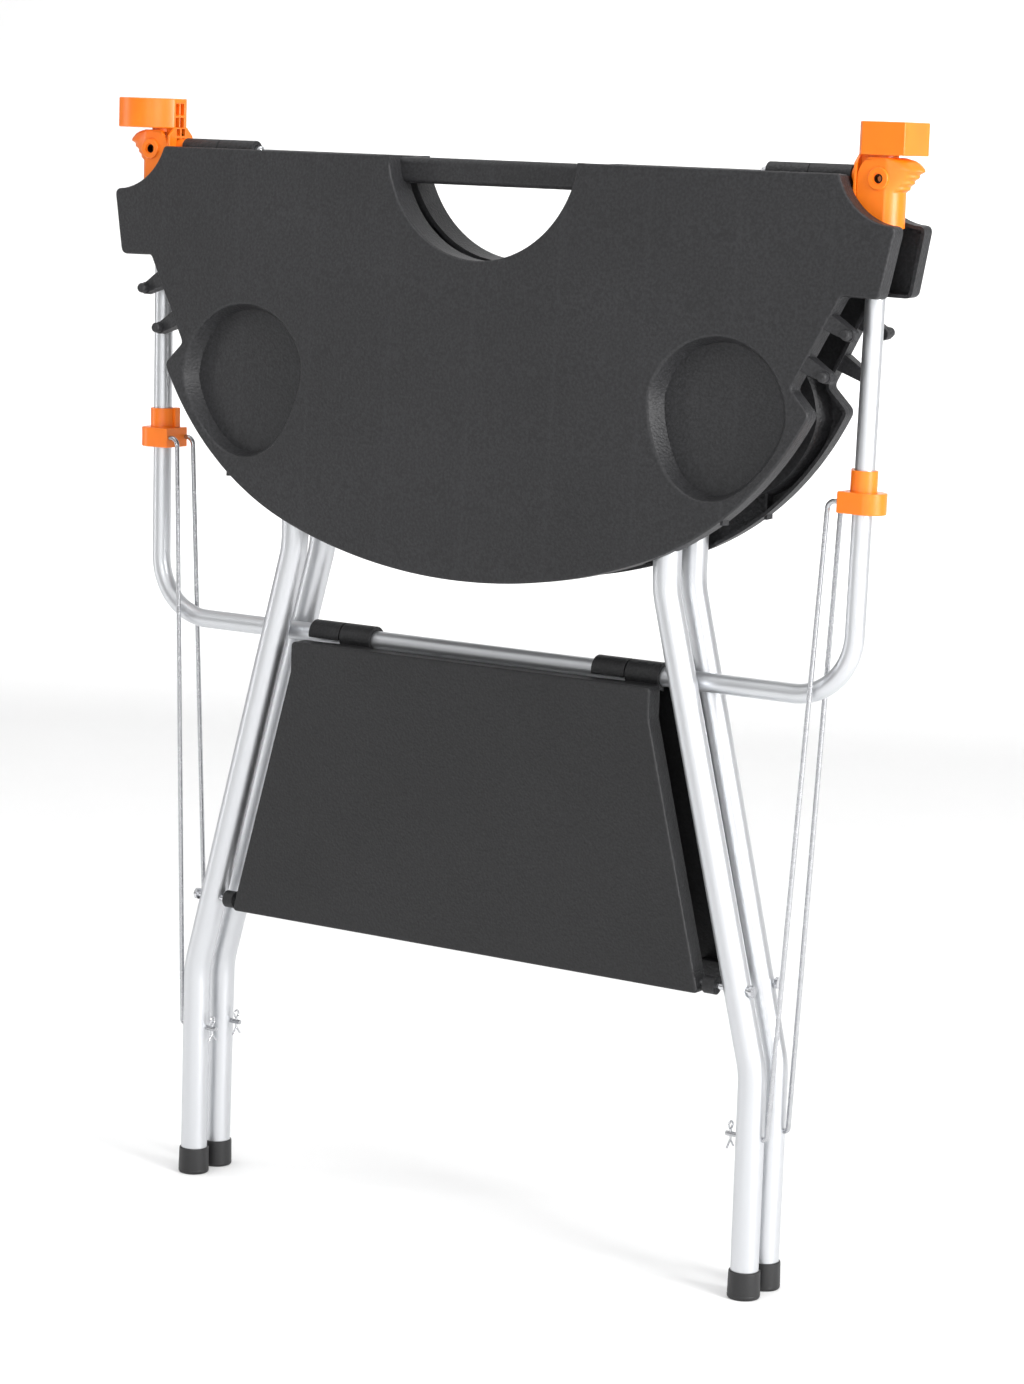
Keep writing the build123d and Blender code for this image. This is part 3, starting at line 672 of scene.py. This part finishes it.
def table_half(sizes):
    """Moulded table half in its own plane: x along the hinge, y up the face, z out of the face."""
    face, rim, wall = sizes.face / MM, sizes.rim / MM, sizes.wall / MM
    depth, edge = sizes.cup_depth / MM, sizes.edge / MM
    back, inner = face - rim, face - SKIN
    half = slab("half", table_outline(), back, face)
    edit(half, "FACE", lambda part: part.normal.z < -0.9)
    bpy.ops.mesh.inset(thickness=wall * MM, use_even_offset=True)
    bpy.ops.mesh.extrude_region_move(TRANSFORM_OT_translate={"value": (0, 0, (inner - back) * MM)})
    bpy.ops.object.mode_set(mode="OBJECT")
    # Ribs behind the skin that stop above the leg rail, the outer two beside its ends
    ribs = []
    for step in range(-3, 4):
        x, low, thin = RIB_SPACING * step, -300 if abs(step) == 3 else -240, 1.3
        ribs.append(block("rib", (x - thin, low, back + 3), (x + thin, -2, inner + 1)))
    carve(half, join("ribs", ribs), "UNION")
    # The cups and the hand slot get their own walls before they are cut
    slot_radius, slot_wall, slot_back = 100.6, 4.0, 4.0
    for side in (-1, 1):
        boss = stack("boss", [cup_outline(side, face - depth - wall, wall, CUP_FLOOR),
                              cup_outline(side, face - 1.5, wall)])
        carve(half, boss, "UNION")
    walled = slot_outline(slot_radius + slot_wall, TOP_V)
    carve(half, slab("slot_wall", walled, slot_back, face - 1.5), "UNION")
    for side in (-1, 1):
        hollow = stack("hollow", [cup_outline(side, face - depth, 0, CUP_FLOOR),
                                  cup_outline(side, face), cup_outline(side, face + 4)])
        carve(half, hollow)
    carve(half, slab("slot", slot_outline(slot_radius, 30), -4, face + 4))
    # Room for the leg tubes behind the lower edge
    for x in (-200, 200):
        carve(half, block("leg_notch", (x - 16, -376, back - 4), (x + 16, -310, back + 5.3)))
    split_faces(half, lambda part: part.normal.z < -0.9)

    def on_face(point):
        """Edges of the face, but for the ends of the slot at the hinge line, which stay sharp."""
        slot_end = point.y > -6 and 96 < abs(point.x) < 108
        return point.z > face - 0.05 and not slot_end

    soften(half, edge, on_face, segments=4)
    rail_off = RAIL_Y * cos(PANEL_TILT) - (HINGE_Z - RAIL_Z) * sin(PANEL_TILT)
    rail_v = -RAIL_Y * sin(PANEL_TILT) - (HINGE_Z - RAIL_Z) * cos(PANEL_TILT)
    parts = [half] + [saddle(x, rail_v, rail_off, inner) for x in (-120, 120)]
    parts += [peg_arm(side, x, v, back) for side in (-1, 1) for x, v in PEGS]
    parts += [knuckle(-311.85, -271.15), knuckle(312.15, 352.85)]
    # Carrying bar across the top of the slot, with round corners
    section, corner_radius, half_length = [], 5.5, 101.5
    for y, z, turn in ((-6.1, 9.1, 0), (-18.1, 9.1, 90), (-18.1, 7.1, 180), (-6.1, 7.1, 270)):
        for step in range(7):
            angle = radians(turn + 15 * step)
            section.append((y + corner_radius * cos(angle), z + corner_radius * sin(angle)))
    carrier = stack("carrier", [[(x, y, z) for y, z in section] for x in (-half_length, half_length)])
    return join("front_table_top", parts + [carrier])


class SAWHORSE_OT_table_halves(bpy.types.Operator):
    """Model the two half-round moulded table halves"""
    bl_idname = "sawhorse.table_halves"
    bl_label = "Table halves"

    def execute(self, context):
        front = table_half(context.scene.sawhorse_sizes)
        place(front, facing(PANEL_TILT, HINGE_Z))
        rear = twin(front, "rear_table_top", HALF_TURN)
        dress(front, "front_half", plastic(context, True), "moulded_plastic", "front_table_half")
        dress(rear, "rear_half", plastic(context, True), "moulded_plastic", "rear_table_half")
        return {"FINISHED"}


class SAWHORSE_OT_leg_frames(bpy.types.Operator):
    """Bend the two leg frames and fit their four feet"""
    bl_idname = "sawhorse.leg_frames"
    bl_label = "Leg frames"

    def execute(self, context):
        sizes = context.scene.sawhorse_sizes
        right = [(200, RAIL_Z), (200, 614), (LEG_X, 202), (LEG_X, 3.2)]
        path = [(-x, z) for x, z in reversed(right)] + right
        corners = [(x, -LEG_FLOOR_Y - LEG_LEAN * z, z) for x, z in path]
        front = tube("front_leg", sizes.leg_radius / MM, corners, (90, 90, 45, 45, 90, 90))
        rear = twin(front, "rear_leg", HALF_TURN)
        dress(front, "front_leg", zinc_tube(context), "galvanised_tube", "front_leg_tube")
        dress(rear, "rear_leg", zinc_tube(context), "galvanised_tube", "rear_leg_tube")
        foot = self.foot(sizes.leg_radius / MM)
        black = made("soft_pvc", foot_plastic, context.scene.sawhorse_finish.foot)
        for where, matrix in CORNERS.items():
            piece = twin(foot, where + "_foot_cap", matrix)
            dress(piece, where.split("_")[0] + "_leg", black, "foot_rubber", where + "_foot")
        bpy.data.objects.remove(foot)
        return {"FINISHED"}

    def foot(self, leg_radius):
        """Slip-on cap: a rounded tread, a slight taper and a rolled lip round the tube."""
        bore = leg_radius + 0.06
        profile = ((12.6, 0.0), (13.8, 0.35), (14.5, 1.5), (14.6, 3.4), (14.35, 3.8), (14.35, 4.6),
                   (14.55, 5.0), (14.1, 22.6), (13.9, 24.3), (13.2, 25.0), (bore, 24.9), (bore, 21.0))
        turns = [pi * step / 32 for step in range(64)]
        rings = []
        for radius, height in profile:
            middle_y = -LEG_FLOOR_Y - LEG_LEAN * height
            rings.append([(LEG_X + radius * cos(turn), middle_y + radius * sin(turn), height)
                          for turn in turns])
        return stack("foot", rings)


class SAWHORSE_OT_centre_frame(bpy.types.Operator):
    """Bend the U-shaped centre frame tube"""
    bl_idname = "sawhorse.centre_frame"
    bl_label = "Centre frame"

    def execute(self, context):
        radius = context.scene.sawhorse_sizes.frame_radius / MM
        top_z = 984.5
        side, top = upright_x(BAR_Z), upright_x(top_z)
        corners = [(-top, 0, top_z), (-side, 0, BAR_Z), (side, 0, BAR_Z), (top, 0, top_z)]
        frame_bar = tube("centre_frame_bar", radius, corners, (56, 56))
        dress(frame_bar, "centre_frame", zinc_tube(context), "galvanised_tube", "centre_frame_tube")
        return {"FINISHED"}


class SAWHORSE_OT_end_brackets(bpy.types.Operator):
    """Mould the two end brackets with their stops, sockets and hinge bosses"""
    bl_idname = "sawhorse.end_brackets"
    bl_label = "End brackets"

    def execute(self, context):
        right_plan = [(362, -12), (368, -20), (408, -20), (408, 25), (378, 25), (362, 9)]
        left_plan = arc((362, -9), (388, -27), (418, -22), 16) + arc((418, 22), (388, 27), (362, 9), 16)
        right = self.bracket("right_bracket", right_plan, 1.0)
        left = place(self.bracket("left_bracket", left_plan, 1.2), MIRROR)
        dress(right, "centre_frame", nylon(context), "orange_plastic", "right_end_bracket")
        dress(left, "centre_frame", nylon(context), "orange_plastic", "left_end_bracket")
        return {"FINISHED"}

    def bracket(self, name, plan, corner):
        """Stop block over a ribbed arm, with the tube's socket and the hinge boss."""
        socket_z, upper, lower = 950, (985.3, 1001.7), (966, 982.8)
        stop = slab("stop", plan, 992, 1019.5)
        carve(stop, block("arm", (362, -9, socket_z), (379, 9, 1000)), "UNION")
        self.cut_pockets(stop, ((1004.2, 1014.6), upper, lower))
        soften(stop, corner, segments=3, sharp=35)
        socket = bar("socket", 12.5, (0, 0, 0), (0, 0, 42.5), 56)
        carve(socket, bar("bore", 8.7, (0, 0, -5), (0, 0, 36), 40))
        soften(socket, 0.8, segments=2)
        place(socket, upright(socket_z))
        boss = soften(bar("boss", 7.5, (353.4, 0, HINGE_Z), (363, 0, HINGE_Z), 40), 0.8, segments=2)
        side = [(-17.5, 938), (-17.5, 985), (-9, 993), (9, 993), (17.5, 985), (17.5, 938)]
        plate = stack("plate", [[(x, y, z) for y, z in side] for x in (360.6, 363.2)])
        self.cut_pockets(plate, ((upper[0], 991.5), lower))
        return join(name, [stop, socket, boss, soften(plate, 0.5, segments=2)])

    def cut_pockets(self, piece, levels):
        """Pairs of pockets in the inboard side, which leave a web and walls of even thickness."""
        half_width, web_y = 2.6, 3.6
        for low, high in levels:
            for y in (-web_y, web_y):
                carve(piece, block("pocket", (350, y - half_width, low), (371, y + half_width, high)))


class SAWHORSE_OT_lock_levers(bpy.types.Operator):
    """Mould the two lock levers that hook over the risen collars"""
    bl_idname = "sawhorse.lock_levers"
    bl_label = "Lock levers"

    def execute(self, context):
        right = self.lever()
        left = twin(right, "left_lever", MIRROR)
        dress(right, "right_lever", nylon(context), "orange_plastic", "right_lock_lever")
        dress(left, "left_lever", nylon(context), "orange_plastic", "left_lock_lever")
        return {"FINISHED"}

    head_radius = 20
    inboard_x = PIVOT_X - head_radius
    cheek, channel = 16.5, 13.7

    def plan(self, outer, half, height):
        """D-shaped plan: flat cheeks and a round outer end."""
        flat, turn, steps = 388.5, radians(28), 24
        nose = []
        for step in range(steps + 1):
            angle = turn + (pi - 2 * turn) * step / steps
            bulge = (sin(angle) - sin(turn)) / (1 - sin(turn))
            nose.append((flat + (outer - flat) * bulge, -half * cos(angle) / cos(turn), height))
        return [(self.inboard_x, -half, height)] + nose + [(self.inboard_x, half, height)]

    def on_pivot(self, name, radius, start_y, end_y, sides):
        """A round bar along the lever's pivot."""
        return bar(name, radius, (PIVOT_X, start_y, PIVOT_Z), (PIVOT_X, end_y, PIVOT_Z), sides)

    def lever(self):
        """Hollow cap over the upright, with finger ridges outside and a round head on its pivot."""
        # Height and outer end of each step: the plain skirt, three ridges, the lip and the crown
        steps = ((932, 399.5), (962, 399.5), (964.2, 404), (966.8, 404), (969.2, 408), (971.8, 408),
                 (974.2, 412.4), (976.8, 412.4), (979.5, 417.8), (982.0, 416.6), (986.0, 412.3),
                 (988.2, 407.5), (990.2, 398))
        body = stack("right_lever", [self.plan(outer, self.cheek, z) for z, outer in steps])
        # The head is round about the pivot as seen from the front
        top, below, beyond, middle = PIVOT_Z + self.head_radius, 920.0, 430.0, 14.14
        side = [(self.inboard_x, below)]
        side += arc((self.inboard_x, PIVOT_Z), (PIVOT_X - middle, PIVOT_Z + middle), (PIVOT_X, top), 14)
        side += [(beyond, top), (beyond, below)]
        keep = slab("keep", side, -30, 30)
        place(keep, Matrix(((1, 0, 0, 0), (0, 0, -1, 0), (0, 1, 0, 0), (0, 0, 0, 1))))
        carve(body, keep, "INTERSECT")
        carve(body, stack("channel", [self.plan(396.4, self.channel, z) for z in (925, 988.2)]))
        carve(body, block("throat", (355, -self.channel, 920), (366, self.channel, 995)))
        soften(body, 0.7, segments=2, sharp=40)
        parts = [body]
        for sign in (-1, 1):
            ring = soften(self.on_pivot("ring", 9.4, sign * 13.9, sign * 18.3, 56), 0.9, segments=3)
            parts.append(carve(ring, self.on_pivot("sink", 4.9, sign * 16.6, sign * 25, 40)))
        for part in parts:
            carve(part, self.on_pivot("hole", 3.85, -40, 40, 40))
        return join("right_lever", parts)


class SAWHORSE_OT_slide_collars(bpy.types.Operator):
    """Mould the two collars that slide on the uprights"""
    bl_idname = "sawhorse.slide_collars"
    bl_label = "Slide collars"

    def execute(self, context):
        right = self.collar()
        left = twin(right, "left_collar", MIRROR)
        dress(right, "right_collar", nylon(context), "orange_plastic", "right_slide_collar")
        dress(left, "left_collar", nylon(context), "orange_plastic", "left_slide_collar")
        return {"FINISHED"}

    def collar(self):
        """Flange, neck, lug that the lever hooks and stop tongue, bored for the upright."""
        flange_z, half = 693.4, 15.6
        centre = upright_x(flange_z)
        inner, outer = 358 - centre, 396 - centre
        plan = [(inner, half), (inner, -half)]
        plan += arc((outer - half, -half), (outer, 0.0), (outer - half, half), 18)
        flange = slab("flange", plan, 0, 18.4)
        soften(flange, 1.0, segments=3)
        neck = bar("neck", 11.5, (0, 0, 16), (0, 0, 36.6), 56)
        soften(neck, 0.7, segments=2)
        lug = bar("lug", 15.0, (0, 0, 23.8), (0, 0, 30.2), 56)
        carve(lug, block("lug_end", (-30, -30, 10), (6.5, 30, 50)))
        soften(lug, 1.2, segments=3)
        tongue = soften(block("tongue", (-14.0, 1.2, 17), (-8, 9.0, 37)), 0.9, segments=2)
        parts = []
        for part in (flange, neck, lug, tongue):
            bore = bar("bore", 8.68, (0, 0, -10), (0, 0, 60), 48)
            parts.append(carve(part, bore))
        return place(join("right_collar", parts), upright(flange_z))


class SAWHORSE_OT_brace_rods(bpy.types.Operator):
    """Bend the four brace rods"""
    bl_idname = "sawhorse.brace_rods"
    bl_label = "Brace rods"

    def execute(self, context):
        radius = context.scene.sawhorse_sizes.rod_radius / MM
        # Through the leg, out past it, up beside the upright and in towards the collar
        outside = LEG_X + context.scene.sawhorse_sizes.leg_radius / MM + 4.2
        top_y, top_z = -12, 703
        corners = [(281, ROD_PIN_Y, ROD_PIN_Z), (outside, ROD_PIN_Y, ROD_PIN_Z),
                   (348.5, top_y, top_z), (357.6, top_y, top_z)]
        rod = tube("rod", radius, corners, (4.0, 7.0), 24)
        soften(rod, 0.5, segments=2, sharp=60)
        for where, matrix in CORNERS.items():
            piece = twin(rod, where + "_rod", matrix)
            dress(piece, where + "_rod", steel("plated_rod", "#B9BABD", 0.26, 5.0), "zinc_rod",
                  where + "_brace_rod")
        bpy.data.objects.remove(rod)
        return {"FINISHED"}


class SAWHORSE_OT_shelves(bpy.types.Operator):
    """Mould the two shelf halves with their ribs, clips and pin bosses"""
    bl_idname = "sawhorse.shelves"
    bl_label = "Shelves"

    def execute(self, context):
        front = self.shelf(context.scene.sawhorse_sizes)
        rear = twin(front, "rear_shelf_tray", HALF_TURN)
        dress(front, "front_tray", plastic(context), "moulded_plastic", "front_shelf")
        dress(rear, "rear_tray", plastic(context), "moulded_plastic", "rear_shelf")
        return {"FINISHED"}

    def shelf(self, sizes):
        """Shelf in its own plane: y up, z out of its face."""
        wall = sizes.wall / MM
        face, back, top, foot = 33.4, 15.4, 528.5, 266.0
        pin_x, pin_z = 237.5, BAR_Z - (HINGE_Z - RAIL_Z)
        shoulder, waist, toe = (193.6, top), (193.6, 500.4), (254.3, foot)
        right = [(0.0, top), shoulder, waist, toe, (0.0, foot)]
        for corner, reach in ((shoulder, 5.0), (waist, 2.0), (toe, 5.0)):
            right = eased(right, corner, reach)
        tray = slab("tray", both_sides(right), back, face)
        edit(tray, "FACE", lambda part: part.normal.z < -0.9)
        bpy.ops.mesh.inset(thickness=wall * MM, use_even_offset=True)
        bpy.ops.mesh.extrude_region_move(
            TRANSFORM_OT_translate={"value": (0, 0, (face - 3 - back) * MM)})
        bpy.ops.object.mode_set(mode="OBJECT")
        soften(tray, sizes.edge / MM, lambda point: point.z > face - 0.05, segments=4)
        parts = [tray]
        low, thin = foot + 2, 1.3
        for x in (-90, 0, 90):
            rib = block("rib", (x - thin, low, back + 0.2), (x + thin, top - 2, face - 1.5))
            parts.append(soften(rib, 0.4, segments=1))
        for side in (-1, 1):
            x = side * pin_x
            boss = block("boss", (x - 13, low, back + 0.2), (x + 13, 285, face - 0.8))
            carve(boss, bar("bore", 3.1, (side * 210, pin_z, RAIL_Y), (side * 280, pin_z, RAIL_Y), 24))
            parts.append(soften(boss, 0.8, segments=2))
        parts += [self.clip(x) for x in (-137, 172)]
        return place(join("front_shelf_tray", parts), facing(0, 0))

    def clip(self, x):
        """Clip: an arm under the shelf's top wall and a hook round the bar."""
        half, past = 17, 30
        hook = bar("clip", 12.6, (x - half, BAR_Z, 0), (x + half, BAR_Z, 0), 64)
        carve(hook, block("arm", (x - half, BAR_Z - 11.5, 9), (x + half, BAR_Z - 5.8, 30)), "UNION")
        carve(hook, bar("bore", 8.7, (x - past, BAR_Z, 0), (x + past, BAR_Z, 0), 48))
        carve(hook, block("mouth", (x - past, BAR_Z - 20, -13), (x + past, BAR_Z - 3, 1)))
        return soften(hook, 0.7, segments=2, sharp=40)


class SAWHORSE_OT_small_steel(bpy.types.Operator):
    """Give the pins, split pins, screws and washers that come from the frame their finishes"""
    bl_idname = "sawhorse.small_steel"
    bl_label = "Pins, screws and washers"

    def execute(self, context):
        bright = steel("bright_pin", "#D4D5D8", 0.18, 3.0)
        oxide = steel("black_oxide", "#1C1C1E", 0.4, 3.0)
        for name, node in frame["nodes"].items():
            if node.hide_render:
                continue
            finish = bright
            if "lever_pin" in name:
                finish = oxide
            if "washers" in name:
                finish = plastic(context)
            node.data.materials.clear()
            node.data.materials.append(finish)
        return {"FINISHED"}


class SAWHORSE_OT_stage(bpy.types.Operator):
    """Set the pale floor and cove, the soft studio light and the camera"""
    bl_idname = "sawhorse.stage"
    bl_label = "Stage"

    def execute(self, context):
        select_nothing()
        # A floor 14 m across whose far edge turns up into a cove
        size, height = 14.0, 8.0
        bpy.ops.mesh.primitive_plane_add(size=size, location=(0, 0, 0))
        floor = bpy.context.active_object
        floor.name = "floor"
        paint = made("stage_paint", stage_paint, context.scene.sawhorse_finish.backdrop)
        floor.data.materials.append(paint)
        edit(floor, "EDGE", lambda edge: all(
            floor.data.vertices[end].co.y > 0.49 * size for end in edge.vertices))
        bpy.ops.mesh.extrude_region_move(TRANSFORM_OT_translate={"value": (0, 0, height)})
        bpy.ops.object.mode_set(mode="OBJECT")
        soften(floor, 2500, segments=16)
        bpy.ops.object.shade_smooth()
        self.light("key", (4.2, -0.6, 1.6), (1.8, 1.8), 210)
        self.light("fill", (2.4, -4.4, 1.6), (1.6, 1.6), 42)
        self.light("top", (0.0, -0.6, 3.8), (2.6, 2.6), 44)
        self.light("left_strip", (-3.0, -1.4, 1.1), (0.3, 2.4), 16)
        self.light("right_strip", (0.2, -4.2, 1.1), (0.25, 2.4), 12)
        self.light("cove", (-2.6, 3.2, 3.4), (3.0, 1.6), 170, (-4.6, 7.0, 1.8))
        self.sky(context)
        context.scene.view_settings.view_transform = "Standard"
        self.camera(context)
        return {"FINISHED"}

    def sky(self, context):
        """White above, grey towards the horizon as in a studio with dark walls."""
        world = context.scene.world or bpy.data.worlds.new("studio")
        context.scene.world = world
        world.use_nodes = True
        tree = world.node_tree
        towards = add_node(tree, "ShaderNodeTexCoord")
        split = add_node(tree, "ShaderNodeSeparateXYZ", None, {"Vector": towards.outputs["Generated"]})
        sky = set_ramp(add_node(tree, "ShaderNodeValToRGB", None, {"Fac": split.outputs["Z"]}),
                       [(0.08, [0.22, 0.22, 0.22, 1.0]), (0.45, [1.0, 1.0, 1.0, 1.0])])
        tree.links.new(sky.outputs["Color"], tree.nodes["Background"].inputs["Color"])
        tree.nodes["Background"].inputs["Strength"].default_value = 0.74

    def light(self, name, place_m, size, power, target=(0, 0, 0.55)):
        """A softbox, with its width and height, that looks at a point."""
        aim = Vector(target) - Vector(place_m)
        bpy.ops.object.light_add(
            type="AREA", location=place_m, rotation=aim.to_track_quat("-Z", "Y").to_euler())
        lamp = bpy.context.active_object
        lamp.name = name
        lamp.data.shape = "RECTANGLE"
        lamp.data.size, lamp.data.size_y = size
        lamp.data.energy = power

    def camera(self, context):
        """Camera a little above the table, 33 degrees round to its right."""
        eye, lens = (1.83331, -2.76805, 1.00601), 96.75
        yaw, pitch, roll = 0.5773798954, 0.1511759933, 0.0348091489
        ahead = Vector((-sin(yaw) * cos(pitch), cos(yaw) * cos(pitch), -sin(pitch)))
        level = Vector((cos(yaw), sin(yaw), 0))
        over = level.cross(ahead)
        right = cos(roll) * level + sin(roll) * over
        up = -sin(roll) * level + cos(roll) * over
        bpy.ops.object.camera_add()
        camera = bpy.context.active_object
        camera.data.sensor_width = 36
        camera.data.lens = lens
        turn = Matrix((right, up, -ahead)).transposed().to_4x4()
        camera.matrix_world = Matrix.Translation(eye) @ turn
        context.scene.camera = camera


class SAWHORSE_PT_panel(bpy.types.Panel):
    """Sidebar panel that lists the makers"""
    bl_label = "Folding sawhorse"
    bl_idname = "SAWHORSE_PT_panel"
    bl_space_type = "VIEW_3D"
    bl_region_type = "UI"
    bl_category = "Sawhorse"

    def draw(self, context):
        for maker in MAKERS:
            self.layout.operator(maker.bl_idname)
        for group in (context.scene.sawhorse_sizes, context.scene.sawhorse_finish):
            for name in group.__annotations__:
                self.layout.prop(group, name)


MAKERS = (
    SAWHORSE_OT_table_halves, SAWHORSE_OT_leg_frames, SAWHORSE_OT_centre_frame, SAWHORSE_OT_end_brackets,
    SAWHORSE_OT_lock_levers, SAWHORSE_OT_slide_collars, SAWHORSE_OT_brace_rods, SAWHORSE_OT_shelves,
    SAWHORSE_OT_small_steel, SAWHORSE_OT_stage,
)
CLASSES = (SawhorseSizes, SawhorseFinish, *MAKERS, SAWHORSE_PT_panel)


def register():
    for kind in CLASSES:
        bpy.utils.register_class(kind)
    bpy.types.Scene.sawhorse_sizes = bpy.props.PointerProperty(type=SawhorseSizes)
    bpy.types.Scene.sawhorse_finish = bpy.props.PointerProperty(type=SawhorseFinish)


def unregister():
    del bpy.types.Scene.sawhorse_sizes
    del bpy.types.Scene.sawhorse_finish
    for kind in reversed(CLASSES):
        bpy.utils.unregister_class(kind)


def main():
    register()
    for maker in MAKERS:
        group, name = maker.bl_idname.split(".")
        getattr(getattr(bpy.ops, group), name)()
    select_nothing()


if __name__ == "__main__":
    main()
